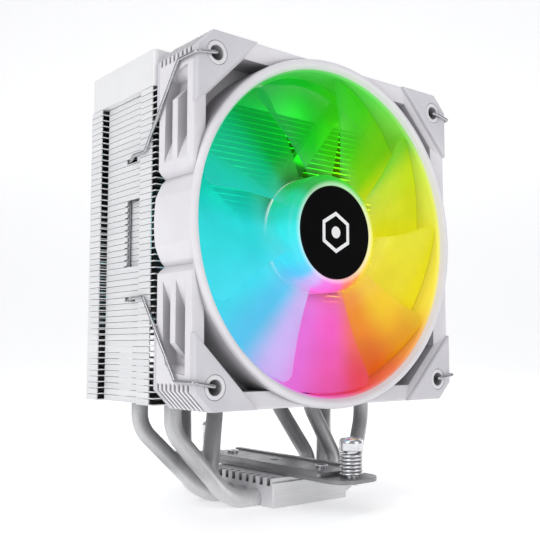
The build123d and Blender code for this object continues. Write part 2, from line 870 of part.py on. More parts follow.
ring_thickness = 0.6
ring_top = bar_bottom - 0.1
shank_bottom = ring_top - ring_thickness - 0.5
ring_groove_radius = 1.8
stud_bore_radius = 1.3
stud_bore_length = 10.0
head_bottom = screw_head_top - screw_head_height
recess_length = 3.6
recess_width = 0.9
recess_deep = 1.8
split_width = 2.2
spring_end_gap = spring_wire_radius + 0.12

for end_name, end_y in (("front", -screw_y), ("rear", screw_y)):
    with BuildPart() as spring_screw:
        with BuildSketch(Plane.XY.offset(shank_bottom)):
            with Locations((0, end_y)):
                Circle(screw_shank_radius)
        extrude(amount=head_bottom - shank_bottom)
        with BuildSketch(Plane.XY.offset(head_bottom)):
            with Locations((0, end_y)):
                Circle(screw_head_radius)
        extrude(amount=screw_head_height)
        fillet(spring_screw.edges().group_by(Axis.Z)[-1], radius=1.6)
        head_underside = spring_screw.edges().filter_by_position(Axis.Z, head_bottom, head_bottom)
        fillet(head_underside.sort_by(SortBy.RADIUS)[-1], radius=0.4)
        # cross recess in the head
        with BuildSketch(Plane.XY.offset(screw_head_top - recess_deep)):
            with Locations((0, end_y)):
                Rectangle(recess_length, recess_width)
                Rectangle(recess_width, recess_length)
        extrude(amount=recess_deep, mode=Mode.SUBTRACT)
        # groove for the retaining ring, and the threaded bore for the board's stud
        with BuildSketch(Plane.XY.offset(ring_top - ring_thickness - 0.02)):
            with Locations((0, end_y)):
                ring_sketch(screw_shank_radius + 1, ring_groove_radius)
        extrude(amount=ring_thickness + 0.04, mode=Mode.SUBTRACT)
        with BuildSketch(Plane.XY.offset(shank_bottom)):
            with Locations((0, end_y)):
                Circle(stud_bore_radius)
        extrude(amount=stud_bore_length, mode=Mode.SUBTRACT)
    spring_screw.part.label = f"spring_screw_{end_name}"
    export_step(spring_screw.part, f"parts/spring_screw_{end_name}.step")

    with BuildPart() as retaining_ring:
        with BuildSketch(Plane.XY.offset(ring_top - ring_thickness)):
            with Locations((0, end_y)):
                ring_sketch(screw_shank_radius + 1.1, ring_groove_radius + running_gap)
            with Locations((0, end_y - ring_groove_radius - 0.9)):
                Rectangle(split_width, split_width, mode=Mode.SUBTRACT)
        extrude(amount=ring_thickness)
    retaining_ring.part.label = f"retaining_ring_{end_name}"
    export_step(retaining_ring.part, f"parts/retaining_ring_{end_name}.step")

    spring_low = lower_top + spring_end_gap
    spring_high = head_bottom - spring_end_gap
    with BuildPart() as screw_spring:
        with BuildLine() as coil_path:
            Helix(
                pitch=(spring_high - spring_low) / spring_turns,
                height=spring_high - spring_low,
                radius=spring_radius,
                center=(0, end_y, spring_low),
            )
        with BuildSketch(Plane(origin=coil_path.line @ 0, z_dir=coil_path.line % 0)):
            Circle(spring_wire_radius)
        sweep(is_frenet=True)
    screw_spring.part.label = f"screw_spring_{end_name}"
    export_step(screw_spring.part, f"parts/screw_spring_{end_name}.step")

# ---- wire clips that hold the fan against the stack -----------------------------------------

hook_depth = 1.8
clip_front = -clip_wire_radius - move_gap
clip_corner_depth = 9.3
clip_waist_depth = 29.3
clip_entry_depth = 36.7
clip_inner_depth = clip_inner_y - fan_front


def clip_half(hand, side, clip_fin):
    """Points of the clip's upper (1) or lower (-1) half, from its hook to the stack."""
    waist_z = fin_bottom + (clip_fin + 0.5) * fin_pitch + fin_thickness / 2
    return [
        (hand * x, fan_front + depth, z)
        for x, depth, z in (
            (clip_hook_x, hook_depth, fan_axis_z + side * clip_hook_z),
            (clip_hook_x, clip_front, fan_axis_z + side * clip_hook_z),
            (clip_outer_x, clip_front, fan_axis_z + side * clip_corner_z),
            (clip_outer_x, clip_corner_depth, fan_axis_z + side * clip_corner_z),
            (clip_outer_x, clip_waist_depth, waist_z),
            (clip_outer_x, clip_entry_depth, waist_z),
            (clip_inner_x, clip_inner_depth, waist_z),
        )
    ]


for clip_name, hand in (("left", -1), ("right", 1)):
    clip_route = clip_half(hand, 1, clip_fins[1])
    clip_route += reversed(clip_half(hand, -1, clip_fins[0]))
    with BuildPart() as wire_clip:
        with BuildLine() as clip_path:
            FilletPolyline(*clip_route, radius=clip_bend_radius)
        with BuildSketch(Plane(origin=clip_path.line @ 0, z_dir=clip_path.line % 0)):
            Circle(clip_wire_radius)
        sweep()
    wire_clip.part.label = f"wire_clip_{clip_name}"
    export_step(wire_clip.part, f"parts/wire_clip_{clip_name}.step")
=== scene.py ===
"""Looks of a white tower cooler with a lit fan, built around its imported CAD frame."""

import json
import math

import bpy
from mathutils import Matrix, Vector


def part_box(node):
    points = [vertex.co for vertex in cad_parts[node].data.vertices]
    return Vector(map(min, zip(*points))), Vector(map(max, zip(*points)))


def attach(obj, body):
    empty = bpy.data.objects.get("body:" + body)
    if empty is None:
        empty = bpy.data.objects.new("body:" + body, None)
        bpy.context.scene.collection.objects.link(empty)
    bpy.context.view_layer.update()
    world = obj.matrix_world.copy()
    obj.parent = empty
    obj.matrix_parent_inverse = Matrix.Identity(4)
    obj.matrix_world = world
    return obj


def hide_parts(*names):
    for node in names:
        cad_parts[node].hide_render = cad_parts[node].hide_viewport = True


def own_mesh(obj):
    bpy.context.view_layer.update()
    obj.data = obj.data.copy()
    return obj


MM = 0.001

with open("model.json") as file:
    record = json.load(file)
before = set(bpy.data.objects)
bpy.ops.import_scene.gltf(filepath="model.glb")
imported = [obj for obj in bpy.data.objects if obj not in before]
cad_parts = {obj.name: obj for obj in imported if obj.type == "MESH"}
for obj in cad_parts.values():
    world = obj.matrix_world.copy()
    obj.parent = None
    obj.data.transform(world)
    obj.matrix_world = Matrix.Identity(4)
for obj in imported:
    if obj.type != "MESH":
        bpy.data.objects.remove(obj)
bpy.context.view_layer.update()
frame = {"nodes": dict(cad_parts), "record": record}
nodes = frame["nodes"]

# ---- places taken from the frame -------------------------------------------------------------


def centre(node):
    """The middle of a CAD node's box."""
    low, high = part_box(node)
    return (low + high) / 2


fan_axis_z = centre("fan_impeller").z
fan_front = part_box("corner_pad_front_upper_left")[0].y
hub_disc_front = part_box("hub_disc")[0].y
blade_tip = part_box("fan_impeller")[1].x
stack_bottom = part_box("fins_lower")[0].z
stack_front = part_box("fins_lower")[0].y
hub_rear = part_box("fan_impeller")[1].y - fan_front

# ---- where the fan's light shows, and where its light and shade are painted, by distance from its axis or by depth ---

hue_change = (34 * MM, 54 * MM)
root_glow = (22 * MM, 34 * MM)
root_clear = (21 * MM, 29 * MM)
hub_shoulder = (16.9 * MM, 18.9 * MM)
hub_line = (1.5 * MM, 0.9 * MM)
bore_edge = (57.6 * MM, 58.2 * MM)
strut_ends = (54.5 * MM, 57.0 * MM)
stack_glow = (50 * MM, 57 * MM)
stack_glow_depth = (1 * MM, 9 * MM)

# ---- how deep recesses are looked into for the shade painted in them --------------------------

frame_recess = 9 * MM
base_recess = 6 * MM
pipe_surroundings = 40 * MM
floor_clear = (7 * MM, 21 * MM)


# ---- material tools --------------------------------------------------------------------------


def linear(red, green, blue):
    """A colour given as 0-255 display values, as linear values with an alpha of one."""
    out = []
    for value in (red, green, blue):
        share = value / 255
        out.append(share / 12.92 if share <= 0.04045 else ((share + 0.055) / 1.055) ** 2.4)
    return (*out, 1.0)


class Surface:
    """A node material whose colour, roughness and bump come from small chains of nodes."""

    def __init__(self, name, colour, roughness, metallic=0.0):
        self.material = bpy.data.materials.new(name)
        self.material.use_nodes = True
        self.tree = self.material.node_tree
        self.shader = self.tree.nodes["Principled BSDF"]
        self.shader.inputs["Metallic"].default_value = metallic
        self.shader.inputs["Base Color"].default_value = colour
        self.shader.inputs["Roughness"].default_value = roughness
        self.colour = colour
        self.roughness = roughness
        self.place = self.node("ShaderNodeTexCoord").outputs["Object"]
        self.normal = None

    def node(self, kind, **settings):
        made = self.tree.nodes.new(kind)
        for key, value in settings.items():
            setattr(made, key, value)
        return made

    def link(self, source, target):
        self.tree.links.new(source, target)

    def set(self, **sockets):
        """Constant values for the shader's own sockets, underscores standing for spaces."""
        for key, value in sockets.items():
            self.shader.inputs[key.replace("_", " ")].default_value = value
        return self

    def recesses(self, distance, low, own=False):
        """A factor that falls to low in recesses narrower than this distance, for the shade painted
        there.

        With own set, only the object's own surfaces count as the sides of a recess.
        """
        made = self.node("ShaderNodeAmbientOcclusion", samples=8, only_local=own)
        made.inputs["Distance"].default_value = distance
        reach = self.node("ShaderNodeMapRange")
        limits = {"From Min": 0.15, "From Max": 0.75, "To Min": low, "To Max": 1.0}
        for socket, value in limits.items():
            reach.inputs[socket].default_value = value
        self.link(made.outputs["AO"], reach.inputs["Value"])
        return reach.outputs["Result"]

    def math(self, operation, first, second=None):
        made = self.node("ShaderNodeMath", operation=operation)
        for index, value in enumerate((first, second)):
            if value is None:
                continue
            if isinstance(value, (int, float)):
                made.inputs[index].default_value = value
            else:
                self.link(value, made.inputs[index])
        return made.outputs[0]

    def noise(self, scale, detail=3.0, stretch=(1, 1, 1)):
        """Noise whose scale is given in features per metre along each axis."""
        mapping = self.node("ShaderNodeMapping")
        mapping.inputs["Scale"].default_value = stretch
        self.link(self.place, mapping.inputs["Vector"])
        made = self.node("ShaderNodeTexNoise")
        made.inputs["Scale"].default_value = scale
        made.inputs["Detail"].default_value = detail
        made.inputs["Roughness"].default_value = 0.55
        self.link(mapping.outputs["Vector"], made.inputs["Vector"])
        return made.outputs["Fac"]

    def spread(self, source, low, high):
        """The source's middle range stretched to run from low to high."""
        made = self.node("ShaderNodeMapRange")
        made.inputs["From Min"].default_value = 0.3
        made.inputs["From Max"].default_value = 0.7
        made.inputs["To Min"].default_value = low
        made.inputs["To Max"].default_value = high
        self.link(source, made.inputs["Value"])
        return made.outputs["Result"]

    def vary_roughness(self, source, amount):
        level = self.spread(source, self.roughness - amount, self.roughness + amount)
        self.link(level, self.shader.inputs["Roughness"])
        return self

    def vary_colour(self, source, other, shade=None):
        """The colour varied towards another by the source, and darkened by a painted shade's
        factor.
        """
        made = self.node("ShaderNodeMix", data_type="RGBA")
        made.inputs["A"].default_value = self.colour
        made.inputs["B"].default_value = other
        self.link(self.spread(source, 0.0, 1.0), made.inputs["Factor"])
        tone = made.outputs["Result"]
        if shade is not None:
            darker = self.node("ShaderNodeVectorMath", operation="SCALE")
            self.link(tone, darker.inputs[0])
            self.link(shade, darker.inputs["Scale"])
            tone = darker.outputs["Vector"]
        self.link(tone, self.shader.inputs["Base Color"])
        return self

    def soften_edges(self, radius):
        """Edges shaded as if rounded to this radius."""
        made = self.node("ShaderNodeBevel", samples=4)
        made.inputs["Radius"].default_value = radius
        self.normal = made.outputs["Normal"]
        self.link(self.normal, self.shader.inputs["Normal"])
        return self

    def bump(self, source, depth):
        made = self.node("ShaderNodeBump")
        made.inputs["Strength"].default_value = 1.0
        made.inputs["Distance"].default_value = depth
        self.link(source, made.inputs["Height"])
        if self.normal is not None:
            self.link(self.normal, made.inputs["Normal"])
        self.normal = made.outputs["Normal"]
        self.link(self.normal, self.shader.inputs["Normal"])
        return self


def smooth_range(surface, source, first, last, low, high):
    """The source's range from first to last, eased into low to high."""
    made = surface.node("ShaderNodeMapRange", interpolation_type="SMOOTHSTEP")
    limits = {"From Min": first, "From Max": last, "To Min": low, "To Max": high}
    for socket, value in limits.items():
        made.inputs[socket].default_value = value
    surface.link(source, made.inputs["Value"])
    return made.outputs["Result"]


def mixed(surface, share, first, second):
    """Two colours, each a value or a socket, mixed by a share that is a socket."""
    made = surface.node("ShaderNodeMix", data_type="RGBA")
    surface.link(share, made.inputs["Factor"])
    for socket, colour in (("A", first), ("B", second)):
        if isinstance(colour, tuple):
            made.inputs[socket].default_value = colour
        else:
            surface.link(colour, made.inputs[socket])
    return made.outputs["Result"]


def scaled(surface, colour, factor):
    """A colour times a factor, which is a value or a socket."""
    made = surface.node("ShaderNodeVectorMath", operation="SCALE")
    surface.link(colour, made.inputs[0])
    if isinstance(factor, float):
        made.inputs["Scale"].default_value = factor
    else:
        surface.link(factor, made.inputs["Scale"])
    return made.outputs["Vector"]


def powder_coat(name, colour, shade, edge):
    """White powder coat: a fine orange peel with slight changes of tone."""
    made = Surface(name, colour, 0.42)
    peel = made.noise(900, 2.0)
    made.soften_edges(edge)
    made.bump(peel, 0.00004)
    made.vary_roughness(made.noise(160, 4.0), 0.07)
    made.vary_colour(made.noise(45, 3.0), shade)
    made.set(Coat_Weight=0.12, Coat_Roughness=0.3)
    return made.material


def coated_fins():
    """The same coat on folds and fin edges; the plates' flat faces, deep in the stack, are painted
    dark as shade.
    """
    made = Surface("fin_white", linear(236, 236, 237), 0.42)
    made.soften_edges(0.08 * MM)
    made.bump(made.noise(900, 2.0), 0.00004)
    made.vary_roughness(made.noise(160, 4.0), 0.07)
    # each fold has its own slight tone, as the fins are coated one by one
    fold_tones = made.spread(made.noise(1, 2.0, (20, 20, 700)), 0.0, 1.0)
    tone = mixed(made, fold_tones, made.colour, linear(226, 227, 229))
    # painted shade: the plates' flat faces above the bottom fin take a dark grey
    normal = made.node("ShaderNodeNewGeometry").outputs["True Normal"]
    split = made.node("ShaderNodeSeparateXYZ")
    made.link(normal, split.inputs["Vector"])
    flat = made.math("GREATER_THAN", made.math("ABSOLUTE", split.outputs["Z"]), 0.9)
    height = made.node("ShaderNodeSeparateXYZ")
    made.link(made.place, height.inputs["Vector"])
    above = made.math("GREATER_THAN", height.outputs["Z"], stack_bottom + 0.2 * MM)
    shaded_plates = mixed(made, made.math("MULTIPLY", flat, above), tone, linear(74, 74, 77))
    # the fan's light painted onto the edges just behind it, as a tint and a glow
    hue, radius, _ = fan_hue(made)
    start, end = (stack_front + depth for depth in stack_glow_depth)
    reach = smooth_range(made, height.outputs["Y"], start, end, 1.0, 0.0)
    near = made.math("MULTIPLY", smooth_range(made, radius, *stack_glow, 1.0, 0.0), reach)
    tint = made.node("ShaderNodeVectorMath", operation="MULTIPLY")
    made.link(shaded_plates, tint.inputs[0])
    made.link(mixed(made, near, (1.0, 1.0, 1.0, 1.0), hue), tint.inputs[1])
    made.link(tint.outputs["Vector"], made.shader.inputs["Base Color"])
    made.link(scaled(made, hue, near), made.shader.inputs["Emission Color"])
    made.set(Emission_Strength=0.22)
    return made.material


def moulded(name, colour, shade, roughness, grain, edge, depth=0.00005):
    """Moulded plastic with a spark-eroded grain."""
    made = Surface(name, colour, roughness)
    made.soften_edges(edge)
    made.bump(made.noise(grain, 3.0), depth)
    made.vary_roughness(made.noise(grain / 6, 3.0), 0.06)
    made.vary_colour(made.noise(60, 2.0), shade)
    return made.material


def machined(
    name, colour, shade, roughness, stretch, edge, depth=0.00002, metallic=1.0, own_recess=None
):
    """Metal with fine parallel tool marks, along the axis with the smallest stretch, and with
    own_recess, painted shade in its own recesses.
    """
    made = Surface(name, colour, roughness, metallic)
    made.soften_edges(edge)
    marks = made.noise(1, 3.0, stretch)
    made.bump(marks, depth)
    made.vary_roughness(made.noise(260, 4.0), 0.08)
    # painted shade in the metal's own recesses, when own_recess is given
    dark = made.recesses(*own_recess, own=True) if own_recess else None
    made.vary_colour(marks, shade, dark)
    return made.material


def bent_pipes():
    """Plated pipes, with painted shade where the stack, the bar and the other pipes stand close
    round them, cleared near the floor.
    """
    made = Surface("pipe_white", linear(214, 214, 215), 0.42, 0.75)
    made.soften_edges(0.1 * MM)
    marks = made.noise(1, 3.0, (900, 900, 90))
    made.bump(marks, 0.000004)
    made.vary_roughness(made.noise(260, 4.0), 0.08)
    height = made.node("ShaderNodeSeparateXYZ")
    made.link(made.place, height.inputs["Vector"])
    # painted shade where surroundings stand close, left out low down near the floor
    low = smooth_range(made, height.outputs["Z"], *floor_clear, 1.0, 0.0)
    close = made.recesses(pipe_surroundings, 0.2)
    made.vary_colour(marks, linear(206, 206, 208), made.math("MAXIMUM", low, close))
    return made.material


# ---- materials -------------------------------------------------------------------------------

cover_white = powder_coat("cover_white", linear(240, 240, 241), linear(233, 233, 235), 0.4 * MM)
pad_white = moulded(
    "pad_white", linear(218, 216, 221), linear(208, 206, 212), 0.72, 2200, 0.3 * MM, 0.00007
)
pipe_white = bent_pipes()
base_satin = machined(
    "base_satin",
    linear(230, 230, 232),
    linear(218, 218, 220),
    0.4,
    (60, 2600, 2600),
    0.25 * MM,
    0.00001,
    0.4,
    # painted shade in the base's own notches and recesses
    own_recess=(base_recess, 0.1),
)
bar_dark = machined(
    "bar_dark",
    linear(150, 150, 152),
    linear(140, 140, 142),
    0.36,
    (1400, 60, 1400),
    0.5 * MM,
    0.000003,
    0.8,
)
bright_steel = machined(
    "bright_steel",
    linear(228, 228, 230),
    linear(205, 205, 208),
    0.16,
    (700, 700, 700),
    0.15 * MM,
    0.00001,
)
wire_steel = machined(
    "wire_steel",
    linear(196, 196, 199),
    linear(168, 168, 171),
    0.22,
    (1500, 1500, 1500),
    0.05 * MM,
    0.00001,
)
yoke_steel = machined(
    "yoke_steel", linear(175, 176, 180), linear(150, 151, 156), 0.32, (60, 2200, 60), 0.1 * MM
)
brass = machined(
    "brass", linear(205, 168, 98), linear(180, 140, 76), 0.3, (300, 2200, 300), 0.1 * MM
)
core_steel = machined(
    "core_steel", linear(120, 121, 124), linear(84, 85, 88), 0.5, (40, 2000, 40), 0.05 * MM
)
magnet_dark = moulded(
    "magnet_dark", linear(48, 48, 51), linear(38, 38, 41), 0.7, 1800, 0.1 * MM
)
nylon = moulded("nylon", linear(226, 222, 208), linear(215, 211, 198), 0.5, 1200, 0.1 * MM)
board_white = moulded(
    "board_white", linear(234, 234, 230), linear(216, 222, 214), 0.35, 700, 0.05 * MM
)
label_foil = machined(
    "label_foil",
    linear(196, 198, 203),
    linear(180, 182, 188),
    0.3,
    (900, 900, 40),
    0.05 * MM,
    0.00001,
    0.8,
)


def gloss_black():
    """Polished black plastic, very smooth."""
    made = Surface("black_gloss", linear(4, 4, 5), 0.16)
    made.soften_edges(0.2 * MM)
    made.bump(made.noise(500, 2.0), 0.000006)
    made.vary_roughness(made.noise(220, 4.0), 0.05)
    made.vary_colour(made.noise(90, 2.0), linear(8, 8, 9))
    made.set(Specular_IOR_Level=0.08)
    return made.material


def mark_white():
    """White print."""
    made = Surface("mark_white", linear(250, 250, 250), 0.35)
    made.bump(made.noise(900, 2.0), 0.00002)
    made.vary_roughness(made.noise(200, 3.0), 0.05)
    made.vary_colour(made.noise(120, 2.0), linear(240, 240, 242))
    return made.material


def wound_copper():
    """Lacquered wire laid side by side."""
    made = Surface("copper_wire", linear(188, 104, 52), 0.3, 0.9)
    waves = made.node("ShaderNodeTexWave", wave_type="RINGS", rings_direction="Y")
    waves.inputs["Scale"].default_value = 900
    made.link(made.place, waves.inputs["Vector"])
    made.bump(waves.outputs["Fac"], 0.00008)
    made.vary_colour(waves.outputs["Fac"], linear(140, 66, 30))
    made.vary_roughness(made.noise(400, 2.0), 0.06)
    made.set(Coat_Weight=0.6, Coat_Roughness=0.12)
    return made.material


# Hues of the lit disc by angle about the fan's axis, counter-clockwise from the right.
hues = (
    (0, (230, 224, 30)),
    (18, (212, 220, 30)),
    (32, (196, 222, 28)),
    (46, (118, 206, 24)),
    (72, (60, 208, 24)),
    (100, (16, 190, 38)),
    (128, (10, 172, 66)),
    (150, (14, 202, 152)),
    (166, (24, 205, 186)),
    (182, (42, 224, 226)),
    (210, (62, 222, 241)),
    (226, (84, 200, 243)),
    (240, (205, 178, 243)),
    (256, (236, 112, 221)),
    (272, (245, 92, 196)),
    (286, (242, 112, 90)),
    (300, (240, 146, 36)),
    (316, (245, 202, 34)),
    (338, (236, 222, 34)),
    (360, (230, 224, 30)),
)
# The same at the rim, where the lower right turns red between magenta and orange.
rim_hues = (
    *hues[:14],
    (272, (236, 84, 170)),
    (284, (232, 64, 84)),
    (300, (226, 100, 22)),
    (318, (232, 158, 16)),
    *hues[18:],
)


def ramp(surface, source, stops):
    """A colour ramp of (place, colour) stops, eased between them."""
    made = surface.node("ShaderNodeValToRGB")
    band = made.color_ramp
    band.interpolation = "EASE"
    band.elements[0].position = stops[0][0]
    band.elements[0].color = stops[0][1]
    band.elements[1].position = stops[-1][0]
    band.elements[1].color = stops[-1][1]
    for place, colour in stops[1:-1]:
        band.elements.new(place).color = colour
    surface.link(source, made.inputs["Fac"])
    return made.outputs["Color"]


def fan_hue(surface):
    """Nodes that give the lit disc's hue, radius and turn at a place beside the still fan frame."""
    split = surface.node("ShaderNodeSeparateXYZ")
    still = surface.node("ShaderNodeTexCoord", object=nodes["fan_frame"])
    surface.link(still.outputs["Object"], split.inputs["Vector"])
    across = split.outputs["X"]
    up = surface.math("SUBTRACT", split.outputs["Z"], fan_axis_z)
    angle = surface.math("ARCTAN2", up, across)
    turns = surface.math("ADD", surface.math("DIVIDE", angle, 2 * math.pi), 1.0)
    turn = surface.math("FRACT", turns)
    squares = surface.math(
        "ADD", surface.math("MULTIPLY", up, up), surface.math("MULTIPLY", across, across)
    )
    radius = surface.math("SQRT", squares)
    inner, outer = (
        ramp(surface, turn, [(angle / 360, linear(*colour)) for angle, colour in stops])
        for stops in (hues, rim_hues)
    )
    hue = mixed(surface, smooth_range(surface, radius, *hue_change, 0.0, 1.0), inner, outer)
    return hue, radius, turn


def lit_plastic(name, glow, own_colour, pale_share):
    """Frosted plastic lit from the hub: its hue turns with the angle about the fan's axis."""
    made = Surface(name, (1, 1, 1, 1), 0.34)
    hue, radius, turn = fan_hue(made)
    cloud = made.spread(made.noise(70, 2.0), 0.94, 1.05)
    light = scaled(made, mixed(made, pale_share(made, radius), hue, (1.0, 1.0, 1.0, 1.0)), cloud)
    made.link(light, made.shader.inputs["Emission Color"])
    made.link(scaled(made, light, own_colour), made.shader.inputs["Base Color"])
    made.bump(made.noise(1100, 2.0), 0.00003)
    made.vary_roughness(made.noise(120, 3.0), 0.06)
    made.set(Emission_Strength=glow, IOR=1.46, Specular_IOR_Level=0.3)
    return made, radius, turn


def lit_blade():
    """Blades a little paler by the hub, and clearer there and at the top, with less light."""

    def pale(made, radius):
        return smooth_range(made, radius, *root_glow, 0.06, 0.0)

    made, radius, turn = lit_plastic("blade_light", 0.7, 0.3, pale)
    root = smooth_range(made, radius, *root_clear, 0.2, 1.0)
    made.link(
        made.math("MULTIPLY", ramp(made, turn, sheer_stops), root), made.shader.inputs["Alpha"]
    )
    return made.material


def lit_hub():
    """The hub: pale on its front shoulder, with a painted white highlight round its rear edge."""

    def pale(made, radius):
        split = made.node("ShaderNodeSeparateXYZ")
        made.link(made.place, split.inputs["Vector"])
        # a painted white highlight in a band just before the hub's rear edge
        start, end = (fan_front + hub_rear - back for back in hub_line)
        edge = smooth_range(made, split.outputs["Y"], start, end, 0.0, 0.9)
        shoulder = smooth_range(made, radius, *hub_shoulder, 0.4, 0.02)
        return made.math("MAXIMUM", edge, shoulder)

    return lit_plastic("hub_light", 0.78, 0.35, pale)[0].material


def grey(level):
    return (level, level, level, 1.0)


sheer_stops = (
    (0.0, grey(0.95)),
    (0.12, grey(0.86)),
    (0.2, grey(0.64)),
    (0.44, grey(0.64)),
    (0.52, grey(0.9)),
    (0.6, grey(0.97)),
    (1.0, grey(0.95)),
)
blade_light = lit_blade()
hub_light = lit_hub()


def lit_frame():
    """White moulded plastic, with the fan's coloured light painted inside its bore as a tint and a
    glow, less of it on the struts and the motor's plate, and painted shade in its recesses.
    """
    made = Surface("frame_white", linear(234, 232, 235), 0.5)
    hue, radius, _ = fan_hue(made)
    made.soften_edges(0.35 * MM)
    made.bump(made.noise(1400, 3.0), 0.00005)
    made.vary_roughness(made.noise(230, 3.0), 0.06)
    tone = mixed(
        made,
        made.spread(made.noise(60, 2.0), 0.0, 1.0),
        linear(234, 232, 235),
        linear(228, 225, 230),
    )
    # painted light: the fan's hue tints and lights everything inside the bore's edge
    glow = smooth_range(made, radius, *bore_edge, 1.0, 0.0)
    # painted shade: the struts and the motor's plate lie behind the blades and are darkened, and so
    # are the recesses
    inside = smooth_range(made, radius, *strut_ends, 0.4, 1.0)
    shade = made.math("MULTIPLY", inside, made.recesses(frame_recess, 0.42))
    body = mixed(made, made.math("MULTIPLY", glow, 0.85), tone, hue)
    made.link(scaled(made, body, shade), made.shader.inputs["Base Color"])
    lit = scaled(made, hue, made.math("MULTIPLY", glow, inside))
    made.link(lit, made.shader.inputs["Emission Color"])
    made.set(Emission_Strength=0.26)
    return made.material


frame_white = lit_frame()
black = gloss_black()
fin_white = coated_fins()
white_mark = mark_white()
copper = wound_copper()


def lamp_glow():
    """A small lamp's own white light."""
    made = Surface("lamp_glow", (1.0, 0.98, 0.9, 1), 0.2)
    made.bump(made.noise(800, 2.0), 0.00002)
    made.vary_colour(made.noise(300, 2.0), (1.0, 0.9, 0.6, 1))
    made.set(Emission_Color=(1, 1, 0.95, 1), Emission_Strength=1.5)
    return made.material


material_of_slot = {
    "white_satin": cover_white,
    "white_fin": fin_white,
    "white_pipe": pipe_white,
    "base_metal": base_satin,
    "bar_steel": bar_dark,
    "bright_steel": bright_steel,
    "wire_steel": wire_steel,
    "frame_plastic": frame_white,
    "pad_rubber": pad_white,
    "lit_plastic": blade_light,
    "black_gloss": black,
    "yoke_steel": yoke_steel,
    "magnet": magnet_dark,
    "nylon": nylon,
    "brass": brass,
    "core_steel": core_steel,
    "copper_wire": copper,
    "board": board_white,
    "lamp": lamp_glow(),
    "label": label_foil,
}

for part in frame["record"]["subparts"]:
    for holder in nodes[part["node"]].material_slots:
        holder.material = material_of_slot[part["material_slot"]]


# ---- mesh tools ------------------------------------------------------------------------------


def mesh_piece(name, points, faces, materials, body, indices=None):
    """A smooth-shaded mesh object that rides on a body."""
    mesh = bpy.data.meshes.new(name)
    mesh.from_pydata([tuple(p) for p in points], [], faces)
    for material in materials:
        mesh.materials.append(material)
    for number, polygon in enumerate(mesh.polygons):
        polygon.use_smooth = True
        if indices:
            polygon.material_index = indices[number]
    mesh.validate()
    made = bpy.data.objects.new(name, mesh)
    bpy.context.scene.collection.objects.link(made)
    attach(made, body)
    return made


def sharpen(piece, degrees):
    """Edges steeper than this stay crisp under smooth shading."""
    piece.data.set_sharp_from_angle(angle=math.radians(degrees))


def grid_faces(rows, columns, start=0, closed_columns=False):
    """Quads over a grid of points stored row by row."""
    made = []
    for row in range(rows - 1):
        here = start + row * columns
        below = here + columns
        for column in range(columns if closed_columns else columns - 1):
            beside = (column + 1) % columns
            made.append((here + column, here + beside, below + beside, below + column))
    return made


def fan_point(radius, angle, depth):
    """A point by radius and angle about the fan's axis and depth behind its front."""
    return Vector(
        (
            radius * math.cos(angle),
            fan_front + depth,
            fan_axis_z + radius * math.sin(angle),
        )
    )


# ---- impeller: hub and blades ----------------------------------------------------------------

hub_radius = 21.0 * MM
blade_count = 9
blade_start = math.radians(12)
blade_reach = math.radians(28.5)
blade_sweep = math.radians(9)
blade_front = 2.6 * MM
blade_rear = 15.2 * MM
blade_camber = 1.2 * MM
blade_half_thickness = 0.6 * MM
radial_steps = 28
chord_steps = 36


def blade_ring(radius, base_angle):
    """The closed outline of a blade's section at one radius: along the front, then the rear."""
    share = (radius - hub_radius) / (blade_tip - hub_radius)
    middle = base_angle + blade_sweep * share
    # round the blade's outer corners a little
    trim = 1 - 0.1 * max(0.0, (share - 0.86) / 0.14) ** 3
    outline = []
    for side in (1, -1):
        for step in range(chord_steps):
            across = side * math.cos(math.pi * step / chord_steps) * trim
            depth = (blade_front + blade_rear) / 2 - across * (blade_rear - blade_front) / 2
            depth += blade_camber * (1 - across * across)
            bulge = blade_half_thickness * math.sqrt(max(0.0, 1 - (across / trim) ** 8))
            outline.append(fan_point(radius, middle + across * blade_reach, depth - side * bulge))
    return outline


points, faces = [], []
for blade in range(blade_count):
    base_angle = blade_start + blade * 2 * math.pi / blade_count
    start = len(points)
    for step in range(radial_steps + 1):
        radius = hub_radius - 0.8 * MM + (blade_tip - hub_radius + 0.8 * MM) * step / radial_steps
        points += blade_ring(radius, base_angle)
    columns = 2 * chord_steps
    faces += grid_faces(radial_steps + 1, columns, start, closed_columns=True)
    tip_start = start + radial_steps * columns
    faces.append(tuple(range(tip_start, tip_start + columns)))
blade_faces = len(faces)

hub_profile = [(16.75, 2.4), (16.75, 1.75)]
hub_profile += [
    (17.4 - 0.65 * math.cos(t), 1.72 - 0.55 * math.sin(t))
    for t in (math.radians(15 * k) for k in range(0, 8))
]
hub_profile += [
    (17.6 + 3.4 * math.sin(t), 1.2 + 4.6 * (1 - math.cos(t)))
    for t in (math.radians(7.5 * k) for k in range(1, 13))
]
hub_profile += [(21.0, 9.0), (21.0, 12.0), (21.0, 15.3), (20.8, 15.6), (19.6, 15.6), (19.4, 15.3)]
hub_profile += [(19.2, 10.0), (19.0, 6.6), (18.3, 4.8), (16.7, 3.95), (8.0, 3.9), (1.6, 3.9)]
turns = 96
start = len(points)
for radius, depth in hub_profile:
    for turn in range(turns):
        points.append(fan_point(radius * MM, 2 * math.pi * turn / turns, depth * MM))
faces += grid_faces(len(hub_profile), turns, start, closed_columns=True)
indices = [0] * blade_faces + [1] * (len(faces) - blade_faces)
impeller = mesh_piece(
    "impeller_lit", points, faces, (blade_light, hub_light), "rotor", indices
)
sharpen(impeller, 50)
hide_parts("fan_impeller")

# ---- generic mark on the hub: a ring of six sides round a dot --------------------------------

